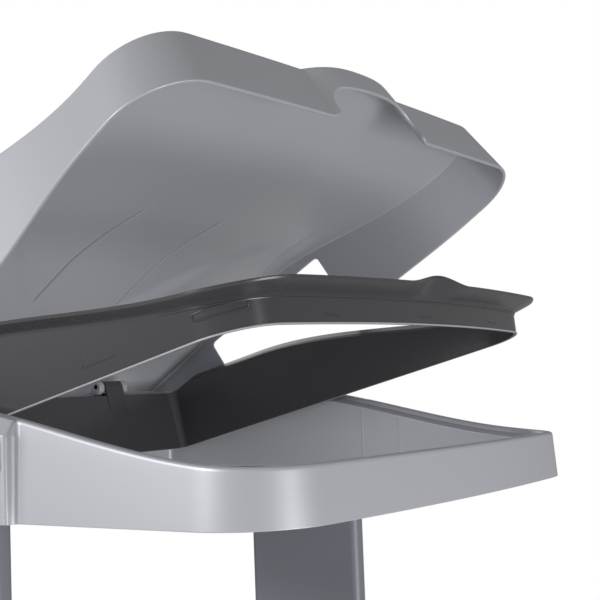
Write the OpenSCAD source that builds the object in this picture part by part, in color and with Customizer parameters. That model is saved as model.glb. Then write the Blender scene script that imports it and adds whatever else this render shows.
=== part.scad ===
// Free-standing trash bag holder: a base tray, two flat side columns, a top frame,
// a clamp ring that nips the bag's mouth and a lid, both hinged at the rear.
// Lengths are in millimetres. The front faces -Y, and the part stands on z = 0.

/* [Stance] */
// Height of the top frame's lower edge above the floor
frame_z = 790; // [600:1:900]
// Angle that the lid stands open
lid_open = 34; // [0:1:80]
// Angle that the clamp ring stands raised
ring_open = 14; // [0:0.5:30]

/* [Top frame] */
// Outer width of the frame at its lower edge
frame_w = 400; // [340:1:460]
// Outer depth of the frame
frame_d = 415; // [400:1:460]
// Height of the front wall
front_h = 33; // [28:1:45]
// Extra height of the rim at the rear
rim_rise = 41; // [30:1:50]
// How far the front wall bows forward
front_bow = 12; // [4:1:20]
// Radius of the front corners
front_r = 52; // [40:1:70]
// Radius of the rear corners
rear_r = 16; // [12:1:20]
// Width of the rim from its outer face to the bag opening
rim_w = 14; // [12:0.5:16]
// How far the rim's seat slopes down towards the opening
seat_drop = 7; // [4:0.5:8]
// Wall of the frame
frame_wall = 2.5; // [2:0.1:3.5]

/* [Lid] */
// Gap all round between the frame's wall and the lid's skirt
lid_gap = 8.5; // [7:0.1:12]
// Height of the lid's front skirt
skirt_h = 45; // [42:1:52]
// Extra height of the lid at the rear
lid_rise = 38; // [30:1:44]
// Wall of the lid
lid_wall = 2.5; // [2:0.1:3.5]
// How far the side skirts flare out towards the front
lid_flare = 15; // [0:1:18]
// How far the handle bulges forward
handle_out = 12; // [6:1:18]
// Width of the finger notch under the handle
notch_w = 100; // [60:1:104]

/* [Clamp ring] */
// Running gap between the ring's wall and the frame
ring_gap = 1.2; // [0.8:0.1:2]
// Height of the ring's lower edge above the frame's lower edge
ring_foot = 17; // [10:0.5:20]
// Wall of the ring
ring_wall = 2.2; // [1.8:0.1:3]
// Height of the sloping flange over the frame's rim
flange_h = 6.5; // [5:0.5:8]
// Width of the flange at the sides
flange_w = 10; // [8:0.5:12]
// Width of the flange at the front, where it has to reach further
flange_front_w = 17; // [14:0.5:20]

/* [Columns] */
// Depth of a column, front to rear
column_d = 110; // [90:1:112]
// Thickness of a column
column_t = 16; // [13:0.5:18]
// Wall of a column
column_wall = 2; // [1.5:0.1:3]
// Middle of the columns as a share of the frame's depth
column_share = 0.622; // [0.6:0.002:0.64]
// Radius of a column's upright edges
column_r = 6; // [4:0.5:6.5]

/* [Base] */
// Depth of the base tray
base_d = 456; // [440:1:520]
// Height of the base tray's wall
base_h = 38; // [30:1:60]
// Wall of the base tray
base_wall = 3; // [2.5:0.1:4]
// Height of the feet
foot_h = 8; // [5:0.5:12]
// Radius of the feet
foot_r = 15; // [10:0.5:20]

/* [Hardware] */
// Radius of the lid's hinge pins
pin_r = 4; // [3:0.1:5]
// Radius of the ring's hinge pins
ring_pin_r = 2.5; // [2:0.1:3]
// Radius of a screw's shank
screw_r = 2; // [1.5:0.1:2.5]

/* [Hidden] */

silver = [0.70, 0.72, 0.74];
dark = [0.22, 0.22, 0.24];
blue_grey = [0.52, 0.54, 0.58];
steel = [0.75, 0.75, 0.77];
rubber = [0.12, 0.12, 0.13];

// Clearances and overruns shared by the pieces
slip = 0.2;
run = 0.06;
over = 1;
facet_n = 48;

// The tray reaches a little past the frame's front and further behind its rear
base_front = -6;
mid_y = base_front + base_d / 2;
half_w = frame_w / 2;
frame_draft = 3;

// The rim's height climbs from the front to the rear along one smooth step
rise_start = 20;
rise_end = 295;
function smooth(t) = let (c = max(0, min(1, t))) c * c * (3 - 2 * c);
function rim_z(y) = front_h + rim_rise * smooth((y - rise_start) / (rise_end - rise_start));
rear_rim_z = front_h + rim_rise;

// Sleeve that takes each column. It stands out from the side wall, and the
// column passes up between it and the rim's inner wall
sleeve_wall = 2.4;
sleeve_end = 13;
column_x = half_w - rim_w + frame_wall + slip;
column_y = column_share * frame_d - column_d / 2;
sleeve_out = column_x + column_t + slip + sleeve_wall;
sleeve_y = column_y - sleeve_end;
sleeve_d = column_d + 2 * sleeve_end;
sleeve_top_drop = 1;
sleeve_bevel = 8;
socket_h = 56;
cover_t = 3;
cover_z = 31;

// Lid, drawn closed in the frame's own coordinates
front_ease = 5.5;
rear_gap = 13.5;
lid_half = half_w + lid_gap + lid_wall;
lid_front = front_ease - lid_gap;
lid_rear = frame_d + rear_gap;
lid_foot = 12;
lid_draft = 2;
lid_edge_r = 5;
lid_corner_less = 8;
lid_front_r = front_r - lid_corner_less;
lid_bow = 3;
flare_run = 130;
rear_corner_more = 6;
lid_rear_r = rear_r + rear_corner_more;
lid_rise_start = 50;
lid_rise_end = 250;
function lid_z(y) = lid_foot + skirt_h
  + lid_rise * smooth((y - lid_rise_start) / (lid_rise_end - lid_rise_start));
side_notch_gap = 2.5;
side_notch_drop = 9.5;
rear_skirt_z = 26;
gate_gap = 4;
rear_gate_z = rear_rim_z + gate_gap;
rear_gate_side = half_w + lid_gap / 2;
handle_half = 56;
notch_h = 24;
notch_r = 16;

// Lid hinge: one pin on each side, through a boss on the side wall
hinge_back = 19;
hinge_y = frame_d - hinge_back;
hinge_z = 40;
boss_r = 9;
boss_gap = 0.4;
pin_head_r = 7;
pin_head_t = 2.4;
pin_grip = 9;
lid_rear_top = lid_foot + skirt_h + lid_rise - lid_edge_r;
function lid_side_x(z) = lid_half - lid_draft * (z - lid_foot) / (lid_rear_top - lid_foot);
boss_end = lid_side_x(hinge_z + boss_r) - lid_wall - boss_gap;
pin_head_x = lid_side_x(hinge_z - pin_head_r) + boss_gap;

// Ring, drawn closed in the frame's own coordinates
ring_half = half_w - rim_w - ring_gap;
ring_front_gap = 12;
ring_front = rim_w + ring_front_gap;
ring_rear = frame_d - rim_w - ring_gap;
ring_corner_more = 2;
ring_front_r = front_r - rim_w + ring_corner_more;
ring_rear_r = 10;
ring_draft = 2;
flange_lift = 0.8;
crease_drop = 1;
bump_half = 40;
bump_h = 5;

// Ring hinge: two barrels on the rear wall between ears on the rim
ring_barrel_r = 5;
ring_hinge_out = 1;
ring_hinge_y = frame_d - rim_w + ring_hinge_out;
ring_hinge_z = rear_rim_z + ring_barrel_r;
ring_lug_x = 107;
ring_lug_w = 22;
ring_ear_w = 6;
ring_ear_gap = 0.6;
ring_rear_drop = 4;
ring_rear_top = rear_rim_z - ring_rear_drop;
lug_foot_z = 2 * ring_foot;
flange_fade = 3 * ring_rear_r;

// Columns, from the tray's sockets up into the frame's sleeves
tray_floor_z = foot_h;
floor_t = 3;
base_socket_h = 58;
socket_in = column_x - slip - sleeve_wall;
column_foot_z = tray_floor_z + floor_t;
column_top_z = frame_z + socket_h - slip;
column_joint_z = column_foot_z + (column_top_z - column_foot_z) / 2;
joiner_length = 90;
joiner_wall = 2.2;
base_half = sleeve_out + cover_t;
base_r = 45;
foot_inset = 34;
screw_head_r = 4;
screw_head_t = 1.8;
screw_rise = 22;
screw_spread = column_d / 4;

// Half of an outline, as rows of [x, y] from the front's middle round to the rear
front_rows = 9;
corner_rows = 7;
side_rows = 13;
function half_outline(hw, yf, yr, bow, rf, rr, push = 0) =
  let (tilt = atan(2 * bow * (hw - rf) / (hw * hw)),
       arc_x = hw - rf,
       edge_x = arc_x + rf * sin(tilt),
       arc_y = yf + bow * pow(edge_x / hw, 2) + rf * cos(tilt),
       rear_y = yr - rr)
  concat(
    [for (i = [0 : front_rows - 1]) let (x = edge_x * (i + 0.5) / front_rows)
      [x, yf + bow * pow(x / hw, 2) - push * (1 - pow(min(1, x / handle_half), 2.6))]],
    [for (i = [0 : corner_rows]) let (a = tilt + (90 - tilt) * i / corner_rows)
      [arc_x + rf * sin(a), arc_y - rf * cos(a)]],
    [for (i = [1 : side_rows]) [hw, arc_y + (rear_y - arc_y) * i / side_rows]],
    [for (i = [1 : corner_rows]) let (a = 90 * i / corner_rows)
      [hw - rr + rr * cos(a), rear_y + rr * sin(a)]]);

// A closed ring of 3-D points from a half outline and one height for each row
function ring_points(rows, heights) =
  let (n = len(rows))
  concat([for (i = [0 : n - 1]) [rows[i][0], rows[i][1], heights[i]]],
         [for (i = [n - 1 : -1 : 0]) [-rows[i][0], rows[i][1], heights[i]]]);

function flatten(lists) = [for (l = lists) each l];

// Skins a stack of rings. A band joins the last ring to the first one, or strips
// from side to side close the two ends
module skin(rings, band) {
  n = len(rings[0]);
  m = len(rings);
  last = (m - 1) * n;
  walls = [for (j = [0 : band ? m - 1 : m - 2], i = [0 : n - 1])
    let (a = j * n + i, b = j * n + (i + 1) % n,
         c = ((j + 1) % m) * n + (i + 1) % n, d = ((j + 1) % m) * n + i)
    each [[a, c, b], [a, d, c]]];
  caps = band ? [] : [for (i = [0 : n / 2 - 2])
    let (p = n - 1 - i)
    each [[i, i + 1, p - 1], [i, p - 1, p],
          [last + i, last + p - 1, last + i + 1], [last + i, last + p, last + p - 1]]];
  polyhedron(flatten(rings), concat(walls, caps), convexity = 10);
}

// Moves frame coordinates to the part's own, and turns a hinged piece about its axis
module in_frame() { translate([0, -mid_y, frame_z]) children(); }
module turned(y, z, angle) {
  translate([0, y, z]) rotate([-angle, 0, 0]) translate([0, -y, -z]) children();
}
module along_x(x, y, z, r, length) {
  translate([x, y, z]) rotate([0, 90, 0]) cylinder(r = r, h = length, $fn = facet_n);
}
module both_sides() { for (side = [-1, 1]) scale([side, 1, 1]) children(); }

// One ring of the frame: inset from the outer face, height above the rim or a flat height
function frame_rows(inset) = half_outline(half_w - inset, inset, frame_d - inset, front_bow,
  front_r - inset, max(rear_r - inset, rear_r / 4));
function frame_ring(inset, drop) = let (rows = frame_rows(inset))
  ring_points(rows, [for (p = rows) rim_z(p[1]) - drop]);
function frame_flat(inset, z) = let (rows = frame_rows(inset)) ring_points(rows, [for (p = rows) z]);

shoulder = 6;
inner_foot = 4;
module frame_shell() {
  top_in = frame_draft;
  skin([
    frame_flat(0, 0),
    frame_ring(top_in - 0.4 * frame_wall, shoulder),
    frame_ring(top_in, shoulder / 2),
    frame_ring(top_in + shoulder / 4, shoulder / 6),
    frame_ring(top_in + shoulder / 2, 0),
    frame_ring(rim_w - shoulder / 6, seat_drop),
    frame_ring(rim_w, seat_drop + shoulder / 6),
    frame_flat(rim_w, inner_foot),
    frame_flat(rim_w - frame_wall, inner_foot),
    frame_ring(rim_w - frame_wall, seat_drop + frame_wall),
    frame_ring(top_in + frame_wall + shoulder / 4, frame_wall + shoulder / 6),
    frame_ring(top_in + frame_wall, shoulder),
    frame_flat(frame_wall, 0)], true);
}

// Side view of a sleeve, whose top follows the rim
sleeve_steps = 8;
module sleeve_side(drop, front_in, width) {
  y0 = sleeve_y + front_in;
  y1 = sleeve_y + sleeve_d - front_in;
  rotate([90, 0, 90]) linear_extrude(width)
    polygon(concat([[y1, 0], [y0, 0]],
      [for (i = [0 : sleeve_steps]) let (y = y0 + (y1 - y0) * i / sleeve_steps) [y, rim_z(y) - drop]]));
}
module sleeve() {
  hull() {
    translate([half_w - frame_wall, 0, 0]) sleeve_side(sleeve_top_drop, 0, sleeve_wall);
    translate([sleeve_out - sleeve_bevel / 2, 0, 0]) sleeve_side(sleeve_bevel * 0.75, 0, sleeve_wall / 4);
    translate([sleeve_out - sleeve_wall / 4, 0, 0])
      sleeve_side(sleeve_bevel * 1.25, sleeve_bevel / 4, sleeve_wall / 4);
  }
}
module column_pocket(z, h) {
  translate([column_x - slip, column_y - slip, z])
    cube([column_t + 2 * slip, column_d + 2 * slip, h]);
}
module hinge_boss() {
  along_x(half_w - pin_grip, hinge_y, hinge_z, boss_r, boss_end - half_w + pin_grip);
}
module ring_ears() {
  for (end = [-1, 1])
    translate([ring_lug_x + end * (ring_lug_w / 2 + ring_ear_gap + ring_ear_w / 2) - ring_ear_w / 2, 0, 0])
      rotate([90, 0, 90]) linear_extrude(ring_ear_w)
        polygon([[ring_hinge_y - ring_barrel_r, ring_hinge_z - ring_barrel_r + over],
          [ring_hinge_y - ring_barrel_r, ring_hinge_z + ring_barrel_r],
          [ring_hinge_y + ring_barrel_r, ring_hinge_z + ring_barrel_r],
          [ring_hinge_y + 2 * ring_barrel_r - over, rear_rim_z - frame_wall],
          [ring_hinge_y, rear_rim_z - frame_wall]]);
}
module top_frame() color(silver) in_frame() {
  difference() {
    union() {
      frame_shell();
      both_sides() {
        sleeve();
        hinge_boss();
        ring_ears();
      }
    }
    both_sides() {
      column_pocket(-over, socket_h + over);
      along_x(half_w - pin_grip, hinge_y, hinge_z, pin_r, lid_half);
      along_x(ring_lug_x - ring_lug_w, ring_hinge_y, ring_hinge_z, ring_pin_r, 2 * ring_lug_w);
      translate([ring_lug_x - ring_lug_w / 2 - ring_ear_gap, ring_hinge_y - 2 * ring_barrel_r,
                 ring_hinge_z - ring_barrel_r - over])
        cube([ring_lug_w + 2 * ring_ear_gap, 3.5 * ring_barrel_r, 3 * ring_barrel_r]);
      frame_screw_holes();
    }
  }
}

// Cover that clips over the outside of each sleeve and hides its screws
module sleeve_cover() {
  difference() {
    intersection() {
      translate([sleeve_out, 0, 0]) sleeve_side(sleeve_bevel * 1.5, sleeve_bevel / 2, cover_t);
      translate([0, 0, cover_z]) cube([2 * half_w, frame_d, rear_rim_z]);
    }
    translate([sleeve_out - over, sleeve_y + sleeve_bevel, cover_z + cover_t])
      cube([cover_t / 1.5 + over, sleeve_d - 2 * sleeve_bevel, screw_rise]);
  }
}
module left_sleeve_cover() color(silver) in_frame() mirror([1, 0, 0]) sleeve_cover();
module right_sleeve_cover() color(silver) in_frame() sleeve_cover();

// One screw along X, with its head outwards, and the row of two on each side
module screw(x_head, x_tip, y, z) {
  along_x(x_tip, y, z, screw_r, x_head - x_tip);
  along_x(x_head, y, z, screw_head_r, screw_head_t);
}
function screw_ys() = [for (end = [-1, 1]) column_y + column_d / 2 + end * screw_spread];
frame_screw_z = cover_z + cover_t + screw_rise / 2;
module frame_screw_holes() {
  for (y = screw_ys())
    along_x(column_x + column_t / 2, y, frame_screw_z, screw_r, column_t);
}
module frame_screws() color(steel) in_frame() both_sides()
  for (y = screw_ys()) screw(sleeve_out, column_x + column_t / 2, y, frame_screw_z);

// Columns: hollow flat uprights in two lengths, with a joiner inside
module rounded_plan(x, y, w, d, r) {
  for (px = [x + r, x + w - r], py = [y + r, y + d - r])
    translate([px, py]) circle(r = r, $fn = 32);
  translate([x + r, y]) square([w - 2 * r, d]);
  translate([x, y + r]) square([w, d - 2 * r]);
}
module column_plan(inset) {
  rounded_plan(column_x + inset, column_y + inset, column_t - 2 * inset, column_d - 2 * inset,
    column_r - inset);
}
module column_tube(z0, z1) {
  difference() {
    translate([0, 0, z0]) linear_extrude(z1 - z0) column_plan(0);
    translate([0, 0, z0 - over]) linear_extrude(z1 - z0 + 2 * over) column_plan(column_wall);
    column_holes();
  }
}
module joiner_tube() {
  difference() {
    translate([0, 0, column_joint_z - joiner_length / 2]) linear_extrude(joiner_length)
      column_plan(column_wall + slip);
    translate([0, 0, column_joint_z - joiner_length / 2 - over]) linear_extrude(joiner_length + 2 * over)
      column_plan(column_wall + slip + joiner_wall);
    column_holes();
  }
}
base_screw_z = column_foot_z + screw_rise;
joiner_screw_zs = [column_joint_z - joiner_length / 4, column_joint_z + joiner_length / 4];
module column_holes() {
  for (y = screw_ys()) {
    along_x(column_x + column_t / 2, y, frame_z + frame_screw_z, screw_r, column_t);
    along_x(column_x - column_t / 2, y, base_screw_z, screw_r, column_t);
  }
  for (z = joiner_screw_zs)
    along_x(column_x - column_t / 2, column_y + column_d / 2, z, screw_r, column_t);
}
module to_part() { translate([0, -mid_y, 0]) children(); }
module lower_column() { column_tube(column_foot_z, column_joint_z); }
module upper_column() { column_tube(column_joint_z, column_top_z); }
module left_column_lower() color(blue_grey) to_part() mirror([1, 0, 0]) lower_column();
module left_column_upper() color(blue_grey) to_part() mirror([1, 0, 0]) upper_column();
module left_column_joiner() color(dark) to_part() mirror([1, 0, 0]) joiner_tube();
module right_column_lower() color(blue_grey) to_part() lower_column();
module right_column_upper() color(blue_grey) to_part() upper_column();
module right_column_joiner() color(dark) to_part() joiner_tube();

module inward_screw(y, z, x_face, x_tip) {
  along_x(x_face, y, z, screw_r, x_tip - x_face);
  along_x(x_face - screw_head_t, y, z, screw_head_r, screw_head_t);
}
module joiner_screws() color(steel) to_part() both_sides()
  for (z = joiner_screw_zs)
    inward_screw(column_y + column_d / 2, z, column_x, column_x + column_t / 2);
module base_screws() color(steel) to_part() both_sides()
  for (y = screw_ys())
    inward_screw(y, base_screw_z, socket_in, column_x + column_t / 2);

// Base tray: a shallow tray on four feet, with a socket for each column
module tray_plan(inset) {
  rounded_plan(-base_half + inset, base_front + inset, 2 * (base_half - inset), base_d - 2 * inset,
    base_r - inset);
}
module base_tray() color(silver) to_part() difference() {
  union() {
    difference() {
      translate([0, 0, tray_floor_z]) linear_extrude(base_h) tray_plan(0);
      translate([0, 0, tray_floor_z + floor_t]) linear_extrude(base_h) tray_plan(base_wall);
    }
    both_sides() translate([socket_in, column_y - slip - sleeve_wall, tray_floor_z])
      cube([sleeve_out - socket_in, column_d + 2 * (slip + sleeve_wall), base_socket_h]);
  }
  both_sides() {
    column_pocket(column_foot_z, base_socket_h);
    for (y = screw_ys())
      along_x(column_x - column_t / 2, y, base_screw_z, screw_r, column_t);
  }
}
module foot(x, y) {
  translate([x * (base_half - foot_inset), y ? base_front + foot_inset : base_front + base_d - foot_inset, 0])
    cylinder(r1 = foot_r - foot_h / 4, r2 = foot_r, h = foot_h, $fn = facet_n);
}
module foot_front_left() color(rubber) to_part() foot(-1, true);
module foot_front_right() color(rubber) to_part() foot(1, true);
module foot_rear_left() color(rubber) to_part() foot(-1, false);
module foot_rear_right() color(rubber) to_part() foot(1, false);

// Lid: a wavy shell with a skirt, a handle at the front and notches for the sleeves
function lid_rows(inset) = half_outline(lid_half - inset, lid_front + inset, lid_rear - inset,
  lid_bow, lid_front_r - inset, lid_rear_r - inset, handle_out);
function lid_ring(inset, drop) = let (rows = lid_rows(inset))
  ring_points(rows, [for (p = rows) lid_z(p[1]) - drop]);
function flared(p) =
  [p[0] * (1 + lid_flare / lid_half * smooth((sleeve_y - p[1]) / flare_run)), p[1]];
function lid_flat(inset, z) = let (rows = [for (p = lid_rows(inset)) flared(p)])
  ring_points(rows, [for (p = rows) z]);
module lid_shell() {
  d = lid_draft;
  r = lid_edge_r;
  skin([
    lid_ring(d + r, 0),
    lid_ring(d + 0.5 * r, 0.13 * r),
    lid_ring(d + 0.13 * r, 0.5 * r),
    lid_ring(d, r),
    lid_flat(0, lid_foot),
    lid_flat(lid_wall, lid_foot),
    lid_ring(d + lid_wall, r),
    lid_ring(d + lid_wall + 0.3 * r, lid_wall + 0.3 * r),
    lid_ring(d + r, lid_wall)], false);
}
module side_notch() {
  y0 = sleeve_y - side_notch_gap;
  y1 = sleeve_y + sleeve_d + side_notch_gap;
  translate([half_w - over, 0, 0]) rotate([90, 0, 90]) linear_extrude(2 * rim_w)
    polygon([[y0, 0], [y0, lid_z(y0) - side_notch_drop], [y1, lid_z(y1) - side_notch_drop],
      [y1, rear_skirt_z], [frame_d + 3 * rim_w, rear_skirt_z], [frame_d + 3 * rim_w, 0]]);
}
module finger_notch() {
  translate([0, lid_front + over, lid_foot - over]) rotate([90, 0, 0])
    linear_extrude(3 * handle_out, center = true)
      rounded_plan(-notch_w / 2, -notch_r, notch_w, notch_h + notch_r + over, notch_r);
}
module lid() color(silver) in_frame() turned(hinge_y, hinge_z, lid_open) difference() {
  lid_shell();
  finger_notch();
  translate([-rear_gate_side, hinge_y + boss_r, 0]) cube([2 * rear_gate_side, frame_d, rear_gate_z]);
  both_sides() {
    side_notch();
    along_x(half_w, hinge_y, hinge_z, pin_r + run, lid_half);
  }
}
module hinge_pin() {
  along_x(half_w - pin_grip, hinge_y, hinge_z, pin_r, pin_head_x - half_w + pin_grip);
  along_x(pin_head_x, hinge_y, hinge_z, pin_head_r, pin_head_t);
}
module lid_hinge_pin_left() color(steel) in_frame() mirror([1, 0, 0]) hinge_pin();
module lid_hinge_pin_right() color(steel) in_frame() hinge_pin();

// Clamp ring: a flat-footed wall with a sloping flange that lies on the frame's rim
function clamp_rows(inset) = half_outline(ring_half - inset, ring_front + inset, ring_rear - inset,
  front_bow, ring_front_r - inset, max(ring_rear_r - inset, ring_rear_r / 5));
function bump(x) = bump_h * pow(cos(90 * min(1, abs(x) / bump_half)), 2);
function rear_fade(y) = smooth((ring_rear - y) / flange_fade);
function clamp_ring_at(inset, h, lift = 0) = let (rows = clamp_rows(inset))
  ring_points(rows, [for (p = rows)
    rim_z(p[1]) + (h + (p[1] < ring_front_r ? lift * bump(p[0]) / bump_h : 0)) * rear_fade(p[1])
      - (rear_rim_z - ring_rear_top) * (1 - rear_fade(p[1]))]);
function clamp_flat(inset, z) = let (rows = clamp_rows(inset)) ring_points(rows, [for (p = rows) z]);
function flange_rows(out) = half_outline(ring_half + out,
  ring_front - out * flange_front_w / flange_w, ring_rear, front_bow, ring_front_r + out, ring_rear_r);
function flange_ring(out, h, lift) = let (rows = flange_rows(out), home = clamp_rows(0))
  ring_points([for (i = [0 : len(rows) - 1]) let (k = rear_fade(home[i][1]))
      rows[i] * k + home[i] * (1 - k)],
    [for (i = [0 : len(rows) - 1]) let (p = home[i], k = rear_fade(p[1]))
      rim_z(p[1]) + (h + (p[1] < ring_front_r ? lift * bump(p[0]) / bump_h : 0)) * k
      - (rear_rim_z - ring_rear_top) * (1 - k)]);
module clamp_shell() {
  skin([
    clamp_flat(ring_draft, ring_foot),
    clamp_ring_at(0, -crease_drop),
    flange_ring(ring_wall, flange_lift, 0),
    flange_ring(flange_w - ring_wall / 4, flange_h - ring_wall, bump_h),
    flange_ring(flange_w, flange_h - ring_wall / 3, bump_h),
    flange_ring(flange_w - ring_wall / 3, flange_h, bump_h),
    flange_ring(flange_w - ring_wall, flange_h, bump_h),
    flange_ring(ring_wall / 2, flange_lift + ring_wall, 0),
    clamp_ring_at(ring_wall, flange_lift),
    clamp_flat(ring_draft + ring_wall, ring_foot)], true);
}
module ring_lug() {
  difference() {
    union() {
      along_x(ring_lug_x - ring_lug_w / 2, ring_hinge_y, ring_hinge_z, ring_barrel_r, ring_lug_w);
      translate([ring_lug_x - ring_lug_w / 2, ring_rear - ring_wall - ring_draft / 2, lug_foot_z])
        cube([ring_lug_w, ring_wall, ring_hinge_z - lug_foot_z]);
    }
    along_x(ring_lug_x - ring_lug_w, ring_hinge_y, ring_hinge_z, ring_pin_r + run, 2 * ring_lug_w);
  }
}
module clamp_ring() color(dark) in_frame() turned(ring_hinge_y, ring_hinge_z, ring_open) {
  clamp_shell();
  both_sides() ring_lug();
}
module ring_pin() {
  along_x(ring_lug_x - ring_lug_w / 2 - ring_ear_gap - ring_ear_w, ring_hinge_y, ring_hinge_z,
    ring_pin_r, ring_lug_w + 2 * (ring_ear_gap + ring_ear_w));
}
module ring_hinge_pin_left() color(steel) in_frame() mirror([1, 0, 0]) ring_pin();
module ring_hinge_pin_right() color(steel) in_frame() ring_pin();

base_tray();
foot_front_left();
foot_front_right();
foot_rear_left();
foot_rear_right();
left_column_lower();
left_column_upper();
left_column_joiner();
right_column_lower();
right_column_upper();
right_column_joiner();
base_screws();
joiner_screws();
frame_screws();
top_frame();
left_sleeve_cover();
right_sleeve_cover();
clamp_ring();
ring_hinge_pin_left();
ring_hinge_pin_right();
lid();
lid_hinge_pin_left();
lid_hinge_pin_right();
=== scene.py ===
"""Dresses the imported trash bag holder: shells with soft edges, columns, tray, hardware and studio.

Lengths are in metres. Pieces are drawn in the frame's own coordinates, with the front of
the frame at y = 0 and its lower edge at z = 0, and are then moved to the part's.
"""

import math
from typing import NamedTuple

import bmesh
import bpy
from bpy.props import FloatProperty, FloatVectorProperty, PointerProperty
from mathutils import Matrix, Vector


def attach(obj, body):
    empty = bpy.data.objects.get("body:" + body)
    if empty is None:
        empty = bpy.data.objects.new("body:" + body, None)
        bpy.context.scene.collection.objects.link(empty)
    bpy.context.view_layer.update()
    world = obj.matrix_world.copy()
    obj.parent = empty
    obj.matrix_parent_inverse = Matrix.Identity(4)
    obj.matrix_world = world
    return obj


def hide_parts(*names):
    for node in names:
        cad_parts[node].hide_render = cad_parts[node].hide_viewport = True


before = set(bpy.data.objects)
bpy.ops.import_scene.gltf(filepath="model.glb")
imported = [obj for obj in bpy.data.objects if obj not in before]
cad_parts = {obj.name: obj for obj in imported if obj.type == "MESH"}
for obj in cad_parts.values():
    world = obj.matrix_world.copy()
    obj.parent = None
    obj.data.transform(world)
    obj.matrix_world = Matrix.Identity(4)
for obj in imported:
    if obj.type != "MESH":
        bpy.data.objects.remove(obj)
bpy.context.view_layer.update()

bl_info = {
    "name": "Trash Bag Holder",
    "version": (1, 0, 0),
    "blender": (4, 5, 0),
    "location": "3D View > Sidebar > Bag Holder",
    "description": "Builds the shells, columns, tray, hardware and studio of a bag holder",
    "category": "Object",
}

SIDES = (-1, 1)
SLIP = 0.0002  # gap between pieces that fit into each other


def length(name, description, default):
    """A length that a user may change."""
    return FloatProperty(
        name=name, description=description, default=default, precision=4, unit="LENGTH"
    )


def angle(name, description, degrees):
    """An angle that a user may change."""
    return FloatProperty(
        name=name, description=description, default=math.radians(degrees), subtype="ANGLE"
    )


def colour(name, description, default):
    """A colour that a user may change."""
    return FloatVectorProperty(
        name=name, description=description, default=default, size=3, min=0, max=1, subtype="COLOR"
    )


class HolderSizes(bpy.types.PropertyGroup):
    """Sizes of the holder, the same as the solids have."""

    stand_height: length("Frame height", "Height of the frame's lower edge", 0.79)
    base_front: length("Base front", "Front of the tray from the frame's front", -0.006)
    base_depth: length("Base depth", "Depth of the tray", 0.456)
    base_wall_height: length("Base height", "Height of the tray's wall", 0.038)
    foot_height: length("Foot height", "Height of the rubber feet", 0.008)
    foot_radius: length("Foot radius", "Radius of the rubber feet", 0.015)
    frame_width: length("Frame width", "Outer width of the frame", 0.4)
    frame_depth: length("Frame depth", "Outer depth of the frame", 0.415)
    front_height: length("Front height", "Height of the frame's front wall", 0.033)
    rim_rise: length("Rim rise", "Extra height of the rim at the rear", 0.041)
    front_bow: length("Front bow", "How far the front bows forward", 0.012)
    front_radius: length("Front radius", "Radius of the front corners", 0.052)
    rear_radius: length("Rear radius", "Radius of the rear corners", 0.016)
    rim_width: length("Rim width", "Width of the rim", 0.014)
    seat_drop: length("Seat drop", "How far the rim slopes down inwards", 0.007)
    frame_wall: length("Frame wall", "Wall of the frame", 0.0025)
    column_depth: length("Column depth", "Depth of a column", 0.11)
    column_thickness: length("Column thickness", "Thickness of a column", 0.016)
    column_share: FloatProperty(
        name="Column place", description="Middle of the columns as a share of the frame's depth",
        default=0.622, min=0.6, max=0.64,
    )
    column_wall: length("Column wall", "Wall of a column", 0.002)
    column_radius: length("Column radius", "Radius of a column's edges", 0.006)
    lid_gap: length("Lid gap", "Gap between frame and skirt", 0.0085)
    lid_wall: length("Lid wall", "Wall of the lid", 0.0025)
    skirt_height: length("Skirt height", "Height of the lid's front skirt", 0.045)
    lid_rise: length("Lid rise", "Extra height of the lid at the rear", 0.038)
    lid_flare: length("Lid flare", "How far the skirt flares at the front", 0.015)
    handle_reach: length("Handle reach", "How far the handle bulges forward", 0.0109)
    handle_half: length("Handle half", "Half the width of the handle", 0.056)
    finger_width: length("Notch width", "Width of the finger notch", 0.1)
    finger_height: length("Notch height", "Height of the finger notch", 0.024)
    ring_foot: length("Ring foot", "Height of the ring's lower edge", 0.017)
    ring_wall: length("Ring wall", "Wall of the ring", 0.0022)
    ring_gap: length("Ring gap", "Running gap between ring and frame", 0.0012)
    flange_width: length("Flange width", "Width of the flange at the sides", 0.01)
    flange_front: length("Flange front", "Width of the flange at the front", 0.017)
    flange_height: length("Flange height", "Height of the flange over the rim", 0.0065)
    lid_angle: angle("Lid angle", "Angle the lid stands open", 34)
    ring_angle: angle("Ring angle", "Angle the ring stands raised", 14)


class HolderColours(bpy.types.PropertyGroup):
    """Colours of the holder's finishes."""

    silver: colour("Silver", "Satin plastic of lid, frame and tray", (0.465, 0.472, 0.507))
    anthracite: colour("Anthracite", "Plastic of the clamp ring", (0.05, 0.05, 0.054))
    column: colour("Column", "Plastic of the columns", (0.22, 0.225, 0.26))
    rubber: colour("Rubber", "Rubber of the feet", (0.02, 0.02, 0.022))
    steel: colour("Steel", "Zinc-plated screws and pins", (0.56, 0.56, 0.57))
    backdrop: colour("Floor", "Floor of the studio", (0.86, 0.86, 0.86))


def ease(t):
    """Climbs from 0 to 1 with level ends."""
    t = min(1.0, max(0.0, t))
    return t * t * (3 - 2 * t)


def blend(a, b, share):
    """The value at a share of the way from a to b."""
    return a + (b - a) * share


def turns(steps):
    """Angles of even steps round a circle."""
    return [2 * math.pi * i / steps for i in range(steps)]


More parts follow.
